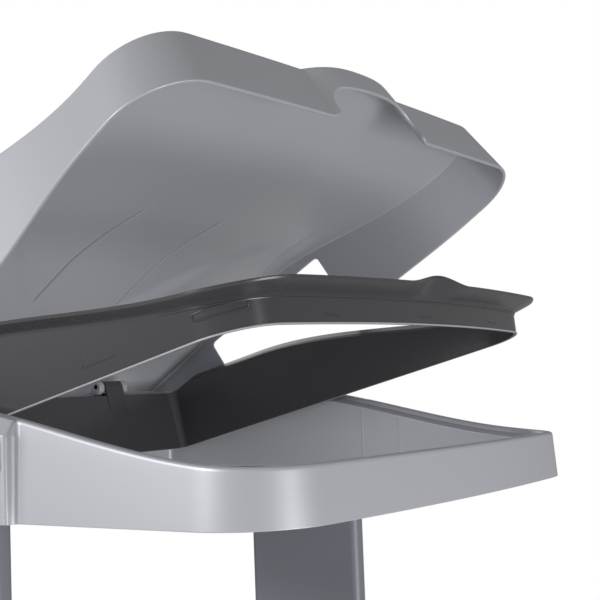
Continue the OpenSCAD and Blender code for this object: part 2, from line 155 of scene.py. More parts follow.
class Layout:
    """Places that follow from the sizes, all in the frame's own coordinates."""

    def __init__(self, s):
        self.s = s
        self.half = s.frame_width / 2
        self.middle_y = s.base_front + s.base_depth / 2
        self.rear_rim = s.front_height + s.rim_rise
        self.column_x = self.half - s.rim_width + s.frame_wall + SLIP
        self.column_front = s.column_share * s.frame_depth - s.column_depth / 2
        self.sleeve_wall, end = 0.0024, 0.013
        self.sleeve_out = self.column_x + s.column_thickness + SLIP + self.sleeve_wall
        self.sleeve_y = (self.column_front - end, self.column_front + s.column_depth + end)
        self.socket_in = self.column_x - SLIP - self.sleeve_wall
        self.cover_out, self.cover_foot = self.sleeve_out + 0.003, 0.031
        self.lid_half = self.half + s.lid_gap + s.lid_wall
        self.lid_front = 0.0055 - s.lid_gap
        self.lid_rear = s.frame_depth + 0.0128
        self.lid_foot, self.lid_draft, self.lid_edge = 0.012, 0.002, 0.005
        self.lid_hinge = (s.frame_depth - 0.019, 0.04)
        self.boss_radius, self.boss_start = 0.009, self.half - 0.009
        self.rear_skirt = 0.026
        self.rear_gate = self.rear_rim + 0.004
        self.gate_side = self.half + s.lid_gap / 2
        self.ring_half = self.half - s.rim_width - s.ring_gap
        self.ring_front = s.rim_width + 0.012
        self.ring_rear = s.frame_depth - s.rim_width - s.ring_gap
        self.ring_draft, self.ring_rear_radius = 0.002, 0.01
        self.ring_hinge = (s.frame_depth - s.rim_width + 0.001, self.rear_rim + 0.005)
        self.lug_x, self.lug_width = 0.107, 0.022
        self.ear_half, self.ear_gap = 0.003, 0.0006
        self.column_foot = s.foot_height + 0.003
        self.column_top = s.stand_height + 0.056 - SLIP
        self.column_joint = (self.column_foot + self.column_top) / 2
        self.column_middle = self.column_front + s.column_depth / 2
        self.screw_ys = [self.column_middle + end * s.column_depth / 4 for end in SIDES]

    def rim(self, y):
        """Height of the frame's rim."""
        return self.s.front_height + self.s.rim_rise * ease((y - 0.02) / 0.275)

    def lid_top(self, y):
        """Height of the closed lid's top."""
        return self.lid_foot + self.s.skirt_height + self.s.lid_rise * ease((y - 0.05) / 0.2)

    def flare(self, y):
        """How much wider the lid's foot is than its rear part, towards the front."""
        return 1 + self.s.lid_flare / self.lid_half * ease((self.sleeve_y[0] - y) / 0.13)

    def lid_side(self, z):
        """Half width of the lid's drafted skirt."""
        high = self.s.skirt_height + self.s.lid_rise - self.lid_edge
        return self.lid_half - self.lid_draft * (z - self.lid_foot) / high

    def ring_outline(self):
        s = self.s
        return Outline(
            self.ring_half, self.ring_front, self.ring_rear, s.front_bow,
            s.front_radius - s.rim_width + 0.002, self.ring_rear_radius,
        )

    def to_part(self, hinge=None, angle=0.0):
        """Moves frame coordinates to the part's, after a turn about a hinge."""
        place = Matrix.Translation((0, -self.middle_y, self.s.stand_height))
        if hinge is None:
            return place
        pivot = Vector((0, *hinge))
        turn = Matrix.Rotation(-angle, 4, "X")
        return place @ Matrix.Translation(pivot) @ turn @ Matrix.Translation(-pivot)

    def lid_place(self):
        return self.to_part(self.lid_hinge, self.s.lid_angle)

    def ring_place(self):
        return self.to_part(self.ring_hinge, self.s.ring_angle)

    def ground(self):
        """Moves plan coordinates on the floor to the part's."""
        return Matrix.Translation((0, -self.middle_y, 0))


def layout():
    return Layout(bpy.context.scene.holder_sizes)


class Outline(NamedTuple):
    """Half of a rounded outline with a bowed front, walked from the front's middle to the rear."""

    half: float
    front: float
    rear: float
    bow: float
    front_radius: float
    rear_radius: float
    push: float = 0.0
    push_half: float = 1.0

    def at(self, row, inset=0.0):
        """Point of a row on the outline drawn in by an inset."""
        part, share = row
        half = self.half - inset
        front_r = self.front_radius - inset
        rear_r = max(self.rear_radius - inset, self.rear_radius / 4)
        arc_x = half - front_r
        tilt = math.atan(2 * self.bow * arc_x / half**2)
        edge_x = arc_x + front_r * math.sin(tilt)
        front = self.front + inset
        arc_y = front + self.bow * (edge_x / half) ** 2 + front_r * math.cos(tilt)
        rear_y = self.rear - inset - rear_r
        if part == "front":
            x = edge_x * share
            bulge = 1 - min(1, abs(x) / self.push_half) ** 2.6
            return x, front + self.bow * (x / half) ** 2 - self.push * bulge
        if part == "corner":
            turn = blend(tilt, math.pi / 2, share)
            return arc_x + front_r * math.sin(turn), arc_y - front_r * math.cos(turn)
        if part == "side":
            return half, blend(arc_y, rear_y, share)
        turn = math.pi / 2 * share
        return half - rear_r + rear_r * math.cos(turn), rear_y + rear_r * math.sin(turn)

    def front_at(self, x):
        """The row of the front at an x."""
        return "front", x / self.at(("front", 1))[0]

    def side_at(self, y):
        """The row of the side at a y."""
        low, high = self.at(("side", 0))[1], self.at(("side", 1))[1]
        return "side", (y - low) / (high - low)

    def rows(self, xs=(), ys=(), front=24, side=60, rear=14, corner=16):
        """Rows of even steps, with more of them at the xs of the front and the ys of the side."""
        fronts = {("front", i / front) for i in range(front)} | {self.front_at(x) for x in xs}
        sides = {("side", (i + 1) / side) for i in range(side)} | {self.side_at(y) for y in ys}
        corners = [("corner", i / corner) for i in range(corner + 1)]
        rears = [("rear", (i + 1) / rear) for i in range(rear)]
        return sorted(fronts) + corners + sorted(sides) + rears


def near(ends, radius, start, step, count):
    """Places for rows on the rounding inside each end, and in even steps outside it."""
    places = []
    for end, inward in zip(ends, (1, -1)):
        places += [end + inward * radius * (1 - math.cos(i * math.pi / 12)) for i in range(7)]
        places += [end - inward * (start + step * i) for i in range(count)]
    return places


def soften(corners, steps=5):
    """Rounds each (a, b, radius) corner of a closed line with a short curve."""
    points = []
    for i, (a, b, radius) in enumerate(corners):
        here = Vector((a, b))
        if not radius:
            points.append(here)
            continue
        before = Vector(corners[i - 1][:2]) - here
        after = Vector(corners[(i + 1) % len(corners)][:2]) - here
        half_angle = before.angle(after, math.pi) / 2
        reach = min(before.length, after.length) * 0.48
        if half_angle > 0.01:
            reach = min(reach, radius / math.tan(half_angle))
        start, end = here + before.normalized() * reach, here + after.normalized() * reach
        for k in range(steps + 1):
            t = k / steps
            points.append(start * (1 - t) ** 2 + here * 2 * t * (1 - t) + end * t * t)
    return points


def add_object(name, data):
    """A new object in the scene."""
    thing = bpy.data.objects.new(name, data)
    bpy.context.scene.collection.objects.link(thing)
    return thing


def plain_object(name, points, edges=(), faces=()):
    """A new object from points, edges and faces as they are."""
    mesh = bpy.data.meshes.new(name)
    mesh.from_pydata(points, edges, faces)
    return add_object(name, mesh)


def shaped(name, shape):
    """A new smooth object from an edited shape."""
    mesh = bpy.data.meshes.new(name)
    shape.to_mesh(mesh)
    shape.free()
    return shade(add_object(name, mesh))


def mesh_object(name, points, faces, place):
    """A closed smooth object from points and faces, with its place in its mesh."""
    shape = bmesh.new()
    verts = [shape.verts.new(p) for p in points]
    for face in faces:
        shape.faces.new([verts[i] for i in face])
    bmesh.ops.remove_doubles(shape, verts=shape.verts, dist=1e-6)
    bmesh.ops.dissolve_degenerate(shape, edges=shape.edges, dist=1e-7)
    bmesh.ops.recalc_face_normals(shape, faces=shape.faces)
    bmesh.ops.transform(shape, matrix=place, verts=shape.verts)
    return shaped(name, shape)


def smooth(thing, degrees):
    """Smooth shading that leaves corners over an angle sharp."""
    for face in thing.data.polygons:
        face.use_smooth = True
    thing.data.set_sharp_from_angle(angle=math.radians(degrees))


def shade(thing):
    """Smooth shading that leaves real corners sharp and flats flat."""
    smooth(thing, 38)
    thing.modifiers.new("weight", "WEIGHTED_NORMAL").keep_sharp = True
    return settle(thing)


def settle(thing):
    """Turns an object's modifiers into plain mesh."""
    graph = bpy.context.evaluated_depsgraph_get()
    made = bpy.data.meshes.new_from_object(thing.evaluated_get(graph))
    thing.modifiers.clear()
    old, thing.data = thing.data, made
    made.name = thing.name
    bpy.data.meshes.remove(old)
    return thing


def bands(count, around, closed):
    """Faces from each loop of points to the next, and from the last to the first if closed."""
    faces = []
    for j in range(count if closed else count - 1):
        k = (j + 1) % count
        for i in range(around):
            n = (i + 1) % around
            faces.append((j * around + i, j * around + n, k * around + n, k * around + i))
    return faces


def shell(name, at, rows, section, top, place, across=24, relief=None, spread=None):
    """Skins a section along the rows of an outline and its mirror image.

    The section gives corners (inset, height, radius) for a row's place. With relief it is
    open, and two sheets from side to side close it at its first and last points. Relief
    raises the inner one. Spread gives how far a point's x is drawn out.
    """
    half = []
    for row in rows:
        home_x, home_y = at(row, 0)
        line = soften(section(home_x, home_y))
        low = min(point[1] for point in line)
        strip = []
        for inset, z in line:
            x, y = at(row, inset)
            share = min(1, max(0, (z - low) / (top(home_y) - low)))
            z += share * (top(y) - top(home_y))
            strip.append((x * spread(y, z) if spread else x, y, z))
        half.append(strip)
    count = len(half[0])
    points = []
    for j in range(count):
        right = [strip[j] for strip in half]
        x, y, z = right[-1]
        points += right + [(blend(x, -x, k / across), y, z) for k in range(1, across)]
        points += [(-x, y, z) for x, y, z in reversed(right[1:])]
    faces = bands(count, len(points) // count, closed=not relief)
    for j in (0, count - 1) if relief else ():
        start = len(points)
        for strip in half:
            x, y, z = strip[j]
            for k in range(across + 1):
                px = blend(x, -x, k / across)
                lift = relief(px, y) if j and 0 < k < across else 0
                points.append((px, y, z + lift))
        for i in range(len(half) - 1):
            for k in range(across):
                a = start + i * (across + 1) + k
                faces.append((a, a + 1, a + across + 2, a + across + 1))
    return mesh_object(name, points, faces, place)


def loft(name, loops, place, closed=False):
    """Skins loops of equal length one after another, and closes their ends."""
    around, count = len(loops[0]), len(loops)
    points = [p for loop in loops for p in loop]
    faces = bands(count, around, closed)
    if not closed:
        faces += [tuple(range(around)), tuple(range(len(points) - around, len(points)))]
    return mesh_object(name, points, faces, place)


def rounded_box(name, box, radius, least, profile, place, steps=8, closed=False):
    """Lofts level loops of the rounded rectangle (x, y, width, depth).

    The profile gives how far each loop is drawn in, and its height.
    """
    loops = []
    for inset, z in profile:
        x, y = (start + inset for start in box[:2])
        width, depth = (size - 2 * inset for size in box[2:])
        r = max(radius - inset, least)
        loop = []
        for turn in range(4):
            cx = x + (r if turn in (1, 2) else width - r)
            cy = y + (r if turn > 1 else depth - r)
            for a in (math.pi / 2 * (turn + i / steps) for i in range(steps + 1)):
                loop.append((cx + r * math.cos(a), cy + r * math.sin(a), z))
        loops.append(loop)
    return loft(name, loops, place, closed)


def turned(name, profile, centre, axis, place):
    """A piece turned about an axis, from (radius, distance along the axis) with both ends at 0."""
    axis = Vector(axis)
    side = Vector((0, 0, 1)) if abs(axis.z) < 0.5 else Vector((1, 0, 0))
    other = axis.cross(side)
    loops = [
        [
            Vector(centre) + axis * along
            + (side * math.cos(a) + other * math.sin(a)) * max(radius, 1e-5)
            for a in turns(48)
        ]
        for radius, along in profile
    ]
    return loft(name, loops, place)


def join(name, things):
    """Several objects as one mesh."""
    shape = bmesh.new()
    for thing in things:
        shape.from_mesh(thing.data)
        bpy.data.objects.remove(thing)
    return shaped(name, shape)


def mirrored(thing, name):
    """A copy of an object across the middle."""
    mesh = thing.data.copy()
    mesh.transform(Matrix.Scale(-1, 4, (1, 0, 0)))
    mesh.flip_normals()
    return add_object(name, mesh)


def plate(name, side_view, middle, half, bevel, place):
    """A flat piece with soft edges: its side view (y, z) drawn out both ways along x."""
    points = [(x, y, z) for x in (middle - half, middle + half) for y, z in side_view]
    n = len(side_view)
    faces = [tuple(range(n)), tuple(range(n, 2 * n))]
    faces += [(i, (i + 1) % n, n + (i + 1) % n, n + i) for i in range(n)]
    thing = mesh_object(name, points, faces, place)
    soft = thing.modifiers.new("soft edges", "BEVEL")
    soft.width, soft.segments, soft.limit_method = bevel, 3, "ANGLE"
    return shade(settle(thing))


def notched(distance, height, radius, foot_radius):
    """Height of a rounded notch at a distance inside its edge."""
    if distance <= -foot_radius:
        return 0.0
    if distance <= 0:
        run = foot_radius + distance
        return foot_radius - math.sqrt(max(foot_radius**2 - run**2, 0))
    if distance < radius:
        return height - radius + math.sqrt(radius**2 - (radius - distance) ** 2)
    return height


class Number:
    """A number in a node tree, so that sums on it are written as sums."""

    def __init__(self, nodes, socket):
        self.nodes, self.socket = nodes, socket

    def _sum(self, operation, first, second):
        node = self.nodes.add("ShaderNodeMath", {0: first, 1: second}, operation=operation)
        return Number(self.nodes, node.outputs[0])

    def __add__(self, other):
        return self._sum("ADD", self, other)

    def __mul__(self, other):
        return self._sum("MULTIPLY", self, other)

    def __truediv__(self, other):
        return self._sum("DIVIDE", self, other)

    def __rtruediv__(self, other):
        return self._sum("DIVIDE", other, self)

    __radd__, __rmul__ = __add__, __mul__


class Nodes:
    """Adds nodes to a tree."""

    def __init__(self, tree):
        self.tree = tree
        tree.nodes.clear()

    def add(self, kind, inputs=None, **settings):
        """A node of a type. Its sockets take values, numbers, sockets or first outputs."""
        node = self.tree.nodes.new(kind)
        for name, value in settings.items():
            setattr(node, name, value)
        for name, value in (inputs or {}).items():
            socket = node.inputs[name]
            if isinstance(value, Number):
                value = value.socket
            if isinstance(value, bpy.types.Node):
                value = value.outputs[0]
            if isinstance(value, bpy.types.NodeSocket):
                self.tree.links.new(value, socket)
            else:
                socket.default_value = value
        return node

    def noise(self, where, scale, detail, roughness):
        """The strength of a noise."""
        node = self.add(
            "ShaderNodeTexNoise",
            {"Vector": where, "Scale": scale, "Detail": detail, "Roughness": roughness},
        )
        return Number(self, node.outputs[0])


def new_material(name):
    material = bpy.data.materials.get(name) or bpy.data.materials.new(name)
    material.use_nodes = True
    return material, Nodes(material.node_tree)


# Name, colour, its lighter and darker share, roughness and how far that varies, scale and
# depth of the grain, and metallic
FINISHES = {
    "silver_plastic": ("satin_silver_plastic", "silver", 1.02, 0.96, 0.4, 0.06, 1500, 5e-5, 0.3),
    "dark_plastic": ("anthracite_plastic", "anthracite", 1.08, 0.9, 0.25, 0.06, 1200, 4e-5),
    "trimmed": ("trimmed_edge", "anthracite", 9, 6.5, 0.35, 0.08, 1200, 3e-5),  # painted highlight: a bright line in place of light caught on the ring's lower edge
    "column_plastic": ("blue_grey_plastic", "column", 1.04, 0.95, 0.45, 0.08, 1300, 7e-5, 0.15),
    "foot_rubber": ("foot_rubber", "rubber", 1.2, 0.8, 0.8, 0.1, 900, 1.5e-4),
    "steel": ("zinc_steel", "steel", 1.05, 0.85, 0.32, 0.12, 2500, 3e-5, 1),
}


def moulded(name, hue, light, dark, roughness, spread, grain, depth, metallic=0.0):
    """A surface with a fine grain, cloudy gloss and a slight change of tint."""
    material, nodes = new_material(name)
    where = nodes.add("ShaderNodeTexCoord").outputs["Object"]
    fine = nodes.noise(where, grain, 3.0, 0.6)
    cloud = nodes.noise(where, 14.0, 4.0, 0.55)
    flow = nodes.noise(where, 120.0, 2.0, 0.5)
    plain = getattr(bpy.context.scene.holder_colours, hue)
    first, second = ((*(c * less for c in plain), 1) for less in (light, dark))
    tint = nodes.add(
        "ShaderNodeMix", {"Factor": cloud * 0.7 + fine * 0.3, 6: first, 7: second},
        data_type="RGBA",
    )
    bump = nodes.add(
        "ShaderNodeBump", {"Strength": 0.35, "Distance": depth, "Height": fine * 0.7 + flow * 0.3}
    )
    gloss = cloud * spread + (roughness - spread / 2) + fine * (spread / 2)
    surface = nodes.add(
        "ShaderNodeBsdfPrincipled",
        {"Base Color": tint.outputs[2], "Roughness": gloss, "Metallic": metallic, "Normal": bump},
    )
    nodes.add("ShaderNodeOutputMaterial", {"Surface": surface})
    return material


def dress(thing, *nodes, body="stand", slot="silver_plastic", finish=None):
    """Gives a piece the finish of its slot or the finish given, puts it in its body and hides the
    solids it stands for.
    """
    thing.data.materials.clear()
    thing.data.materials.append(moulded(*FINISHES[finish or slot]))
    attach(thing, body)
    if nodes:
        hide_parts(*nodes)


def dress_pair(right, name, ending, slot="silver_plastic"):
    """Dresses a piece of the right side and its mirror image."""
    for side, thing in (("right", right), ("left", mirrored(right, "left"))):
        thing.name = f"{side}_{name}_{ending}"
        dress(thing, f"{side}_{name}", slot=slot)


class HOLDER_OT_stage(bpy.types.Operator):
    """Builds the camera, the lamps, the world and the floor"""

    bl_idname = "holder.stage"
    bl_label = "Studio"

    def execute(self, context):
        self.camera(context)
        self.world(context)
        self.floor(context)
        for name, where, size, power, spread in (
            ("side_lamp", (-2.3, 0.75, 1.75), (0.9, 0.9), 46, 180),
            ("sheen_lamp", (-1.98, 1.62, 1.5), (1.0, 1.1), 5, 180),
            ("front_lamp", (-0.3, -1.9, 0.8), (0.3, 1.0), 2.8, 180),
            ("low_lamp", (-0.15, -1.25, 0.36), (0.6, 0.6), 2.2, 80),
            ("rear_lamp", (1.6, 2.0, 1.9), (1.8, 1.8), 10, 180),
        ):
            self.lamp(name, Vector(where), size, power, math.radians(spread))
        context.scene.view_settings.view_transform = "Standard"
        return {"FINISHED"}

    def camera(self, context):
        """The view of the photograph: close, from the left, just over the rim."""
        turn = Matrix()
        for degrees, axis in ((-55.75, "Z"), (90 + 4.01, "X"), (-2.13, "Z")):
            turn @= Matrix.Rotation(math.radians(degrees), 4, axis)
        camera = add_object("camera", bpy.data.cameras.new("camera"))
        camera.data.lens, camera.data.clip_start = 73.27, 0.01
        camera.matrix_world = Matrix.Translation((-0.6926, -0.5715, 0.8636)) @ turn
        context.scene.camera = camera

    def world(self, context):
        """White where the camera or glass looks, grey in reflections, and soft light elsewhere."""
        world = context.scene.world or bpy.data.worlds.new("studio")
        context.scene.world = world
        world.use_nodes = True
        nodes = Nodes(world.node_tree)
        rays = nodes.add("ShaderNodeLightPath").outputs
        seen, glossy, through = (
            Number(nodes, rays[f"Is {kind} Ray"]) for kind in ("Camera", "Glossy", "Transmission")
        )
        soft, to_grey, to_white = 0.19, 0.15, 0.81
        level = seen * to_white + through * to_white + glossy * to_grey + soft
        back = nodes.add("ShaderNodeBackground", {"Color": (1, 1, 1, 1), "Strength": level})
        nodes.add("ShaderNodeOutputWorld", {"Surface": back})

    def floor(self, context):
        radius, steps = 3, 96
        disc = [(radius * math.cos(a), radius * math.sin(a), 0) for a in turns(steps)]
        floor = plain_object("floor", disc, faces=[tuple(range(steps))])
        material, nodes = new_material("pale_floor")
        backdrop = (*context.scene.holder_colours.backdrop, 1)
        surface = nodes.add(
            "ShaderNodeBsdfPrincipled", {"Base Color": backdrop, "Roughness": 0.8}
        )
        nodes.add("ShaderNodeOutputMaterial", {"Surface": surface})
        floor.data.materials.append(material)

    def lamp(self, name, where, size, power, spread):
        """A rectangular lamp that faces the lid and the frame."""
        light = bpy.data.lights.new(name, "AREA")
        light.shape = "RECTANGLE"
        light.size, light.size_y = size
        light.energy, light.spread = power, spread
        turn = (Vector((0, -0.05, 0.86)) - where).to_track_quat("-Z", "Y")
        thing = add_object(name, light)
        thing.matrix_world = Matrix.Translation(where) @ turn.to_matrix().to_4x4()


class HOLDER_OT_lid(bpy.types.Operator):
    """Builds the lid: a wavy shell with a drafted skirt, a handle and notches"""

    bl_idname = "holder.lid"
    bl_label = "Lid"

    def execute(self, context):
        w = layout()
        s = w.s
        outline = Outline(
            w.lid_half, w.lid_front, w.lid_rear, 0.003, s.front_radius - 0.008,
            s.rear_radius + 0.006, s.handle_reach, s.handle_half,
        )
        finger_half, finger_r, notch_r, foot_r = s.finger_width / 2, 0.016, 0.005, 0.004
        notch_y = (w.sleeve_y[0] - 0.0025, w.sleeve_y[1] + 0.0025)
        notch_top = [w.lid_top(y) - 0.0095 for y in notch_y]

        def foot(x, y):
            """Height of the skirt's lower edge."""
            if y < notch_y[0] - 0.02:
                return w.lid_foot + notched(finger_half - x, s.finger_height, finger_r, foot_r)
            if x < w.gate_side and y > w.lid_hinge[0] + w.boss_radius:
                return w.rear_gate
            ground = w.lid_foot if y < sum(notch_y) / 2 else w.rear_skirt
            share = (y - notch_y[0]) / (notch_y[1] - notch_y[0])
            high = blend(notch_top[0], notch_top[1], min(1, max(0, share))) - ground
            inside = min(y - notch_y[0], notch_y[1] - y)
            return ground + notched(inside, high, notch_r, foot_r)

        def section(x, y):
            top, low = w.lid_top(y), foot(x, y)
            edge = top - w.lid_edge

            def wall(z):
                return w.lid_draft * (z - w.lid_foot) / (edge - w.lid_foot)

            deep, lip = w.lid_draft + w.lid_edge + 0.002, s.lid_wall * 0.45
            return [
                (deep, top, 0),
                (wall(top), top, w.lid_edge * 1.1),
                (wall(low), low, lip),
                (wall(low) + s.lid_wall, low, lip),
                (wall(top) + s.lid_wall, top - s.lid_wall, w.lid_edge - s.lid_wall),
                (deep, top - s.lid_wall, 0),
            ]

        rims = [finger_half - finger_r * (1 - math.cos(i * math.pi / 16)) for i in range(9)]
        rims += [finger_half + 0.0002 + 0.0005 * i for i in range(9)]
        ends = near(notch_y, notch_r, 0.0002, 0.0006, 8)
        rows = outline.rows(rims, ends, 36, 90, 16)

        def relief(x, y):
            """A shallow three-sided pad on each side, which widens towards the hinge."""
            inward, outward = (Vector(d).normalized() for d in ((-0.066, 0.08), (0.026, 0.075)))
            from_tip = Vector((abs(x) - 0.161, y - 0.148))
            past_inner = inward.x * from_tip.y - inward.y * from_tip.x
            past_outer = outward.x * from_tip.y - outward.y * from_tip.x
            return -0.0035 * ease(-past_inner / 0.016) * ease(past_outer / 0.008)

        def spread(y, z):
            """The skirt flares from its upper edge down to its foot."""
            edge = w.lid_top(y) - w.lid_edge
            down = min(1, max(0, (edge - z) / (edge - w.lid_foot)))
            return 1 + (w.flare(y) - 1) * down

        lid = shell(
            "lid_shell", outline.at, rows, section, w.lid_top, w.lid_place(), 64, relief, spread
        )
        dress(lid, "lid", body="lid")
        return {"FINISHED"}


class HOLDER_OT_clamp_ring(bpy.types.Operator):
    """Builds the clamp ring: a wall with a sloping flange, a lift and hinge barrels"""

    bl_idname = "holder.clamp_ring"
    bl_label = "Clamp ring"

    def execute(self, context):
        w = layout()
        s = w.s
        outline = w.ring_outline()
        forward = s.flange_front / s.flange_width

        def fade(y):
            """1 round the front and sides, 0 along the rear wall, where the flange ends."""
            return ease((w.ring_rear - y) / (3 * w.ring_rear_radius))

        def at(row, out):
            """Point of a row: the wall drawn in, or the flange drawn out."""
            x, y = outline.at(row, max(0, -out))
            if out <= 0:
                return x, y
            wide = Outline(
                w.ring_half + out, w.ring_front - out * forward, w.ring_rear, s.front_bow,
                outline.front_radius + out, w.ring_rear_radius,
            )
            far_x, far_y = wide.at(row)
            return blend(x, far_x, fade(y)), blend(y, far_y, fade(y))

        wall, high, wide = s.ring_wall, s.flange_height, s.flange_width

        def section(x, y):
            rim, keep, lifted = w.rim(y), fade(y), y < 0.06
            bump = 0.005 * math.cos(math.pi / 2 * min(1, x / 0.04)) ** 2 if lifted else 0
            scoop = 0.0015 * max(0, 1 - (x / 0.024) ** 2) ** 2 if lifted else 0
            rear = 0.004 * (1 - keep)

            def z(h, lift=0.0):
                return rim + (h + lift * bump) * keep - rear

            return [
                (-w.ring_draft, s.ring_foot, wall * 0.4),
                (0, z(-0.001), 0.004),
                (wall, z(0.0008) + scoop, 0.004),
                (wide - wall / 4 - scoop, z(high - wall, 1) + scoop, 0.0008),
                (wide, z(high - wall / 3, 1), 0.0006),
                (wide - wall / 3, z(high, 1), 0.0006),
                (wide - wall, z(high, 1), 0.001),
                (wall / 2, z(0.0008 + wall), 0.002),
                (-wall, z(0.0008), 0.001),
                (-w.ring_draft - wall, s.ring_foot, wall * 0.4),
            ]

        place = w.ring_place()
        rows = outline.rows([0.002 * i for i in range(1, 21)], front=30, side=70)
        ring = shell("clamp_ring_shell", at, rows, section, w.rim, place, 12)
        dress(ring, "clamp_ring", body="clamp_ring", slot="dark_plastic")

        barrel_r, end, soft = 0.005, w.lug_width / 2, 0.0006
        profile = [(0, -end), (barrel_r - soft, -end), (barrel_r, soft - end)]
        profile += [(radius, -along) for radius, along in reversed(profile)]
        y, low, high = w.ring_rear - wall - 0.001, s.ring_foot * 2, w.ring_hinge[1]
        side_view = [(y, low), (y + wall, low), (y + wall, high), (y, high)]
        barrels = []
        for middle in (-w.lug_x, w.lug_x):
            barrels += [
                turned("barrel", profile, (middle, *w.ring_hinge), (1, 0, 0), place),
                plate("lug", side_view, middle, end, soft, place),
            ]
        dress(join("clamp_ring_barrels", barrels), body="clamp_ring", slot="dark_plastic")
        return {"FINISHED"}


class HOLDER_OT_top_frame(bpy.types.Operator):
    """Builds the top frame: a rim with a sloping seat, sleeves, hinge bosses and ears"""

    bl_idname = "holder.top_frame"
    bl_label = "Top frame"

    def execute(self, context):
        w = layout()
        s = w.s
        outline = Outline(w.half, 0, s.frame_depth, s.front_bow, s.front_radius, s.rear_radius)
        bulge = w.sleeve_out - w.half
        sleeve_r, root = 0.0025, 0.004

        def sleeve(x, y):
            """How far a row belongs to a sleeve, with filleted ends."""
            if x < w.half - 0.001:
                return 0.0
            inside = min(y - w.sleeve_y[0], w.sleeve_y[1] - y)
            return notched(inside, bulge, sleeve_r, root) / bulge

        def section(x, y):
            rim, out = w.rim(y), sleeve(x, y)
            foot, bevel_z, seat = -bulge * out, rim - 0.01, rim - s.seat_drop
            draft = 0.002 * bevel_z / (rim - 0.006)
            inner, under = s.rim_width, 0.004
            return [
                (foot, 0, 0.0006),
                (blend(draft, -bulge, out), bevel_z, 0.0012 + 0.002 * (1 - out)),
                (blend(0.0023, 0.0002, out), rim - 0.001 * out, blend(0.006, 0.0018, out)),
                (0.0088, rim - 0.0006, 0.001),
                (0.0096, rim - 0.0026, 0.0006),
                (0.0100, rim - 0.0038, 0.0004),
                (0.0112, rim - 0.0048, 0.0004),
                (0.0116, rim - 0.0046, 0.0005),
                (inner, seat, 0.0016),
                (inner, under, 0.0008),
                (inner - s.frame_wall, under, 0.0008),
                (inner - s.frame_wall, seat - s.frame_wall, 0.001),
                (0.007, rim - 0.0035, 0.001),
                (blend(0.0055, 0.003, out), rim - 0.006, 0.002),
                (foot + s.frame_wall, 0, 0.0006),
            ]

        rows = outline.rows((), near(w.sleeve_y, sleeve_r, 0.0001, 0.0005, 9), 36, 80)
        place = w.to_part()
        dress(shell("top_frame_shell", outline.at, rows, section, w.rim, place), "top_frame")

        lid_y, lid_z = w.lid_hinge
        r = w.boss_radius
        long = w.lid_side(lid_z + r) - s.lid_wall - 0.0004 - w.boss_start
        boss = [(0, 0), (r + 0.0015, 0), (r + 0.0015, 0.0085), (r + 0.0006, 0.0095)]
        boss += [(r, 0.0105), (r, long - 0.0005), (r - 0.0005, long), (0, long)]
        y, z = w.ring_hinge
        ear = [(y - 0.005, z - 0.004), (y - 0.005, z + 0.001), (y - 0.003, z + 0.004)]
        ear += [(y, z + 0.005), (y + 0.003, z + 0.004)]
        ear += [(y + 0.009, w.rear_rim - s.frame_wall), (y, w.rear_rim - s.frame_wall)]
        fittings = []
        for side in SIDES:
            middle = (side * w.boss_start, lid_y, lid_z)
            fittings.append(turned("boss", boss, middle, (side, 0, 0), place))
            for face in SIDES:
                middle = side * w.lug_x + face * (w.lug_width / 2 + w.ear_gap + w.ear_half)
                fittings.append(plate("ear", ear, middle, w.ear_half, 0.0008, place))
        dress(join("top_frame_hinge_seats", fittings))
        return {"FINISHED"}


class HOLDER_OT_sleeve_covers(bpy.types.Operator):
    """Builds the covers on the outside of the sleeves"""

    bl_idname = "holder.sleeve_covers"
    bl_label = "Sleeve covers"

    def execute(self, context):
        w = layout()
        ends = w.sleeve_y[0] + 0.004, w.sleeve_y[1] - 0.004

        def loop(x, inset):
            """A loop of the cover: level foot, sides, and a top that follows the rim."""
            low, front, rear, steps = w.cover_foot + inset, ends[0] + inset, ends[1] - inset, 16
            corners = [(front, low, 0.001), (rear, low, 0.001)]
            for i in range(steps + 1):
                y = blend(rear, front, i / steps)
                corners.append((y, w.rim(y) - 0.012 - inset, 0.003 if i in (0, steps) else 0))
            return [(x, y, z) for y, z in soften(corners, 4)]

        back, out = w.sleeve_out + 0.00003, w.cover_out
        loops = [
            loop(back + 0.0018, 0.006), loop(back, 0.006), loop(back, 0.0002),
            loop(back + 0.0003, 0), loop(out - 0.0011, 0), loop(out - 0.0004, 0.0003),
            loop(out, 0.0012),
        ]
        cover = loft("cover", loops, w.to_part())
        dress_pair(cover, "sleeve_cover", "shell")
        return {"FINISHED"}


class HOLDER_OT_columns(bpy.types.Operator):
    """Builds the flat columns, each in two lengths, and their joiners"""

    bl_idname = "holder.columns"
    bl_label = "Columns"

    def execute(self, context):
        w = layout()
        wall, middle, joiner_half = w.s.column_wall, w.column_joint, 0.045
        for name, low, high, inset, thick, slot in (
            ("column_lower", w.column_foot, middle, 0, wall, "column_plastic"),
            ("column_upper", middle, w.column_top, 0, wall, "column_plastic"),
            ("column_joiner", middle - joiner_half, middle + joiner_half, wall + SLIP, 0.0022,
             "dark_plastic"),
        ):
            dress_pair(self.tube(w, name, low, high, inset, thick), name, "tube", slot)
        return {"FINISHED"}

    def tube(self, w, name, low, high, inset, wall):
        """A flat tube with soft ends, drawn in from the column's outside by an inset."""
        s, soft = w.s, 0.0006
        box = w.column_x, w.column_front, s.column_thickness, s.column_depth
        profile = [(0, low + soft), (0, high - soft), (soft / 4, high - soft / 4), (soft, high)]
        profile += [(wall, high), (wall, low), (soft, low), (soft / 4, low + soft / 4)]
        profile = [(inset + more, z) for more, z in profile]
        return rounded_box(name, box, s.column_radius, 0.0005, profile, w.ground(), closed=True)


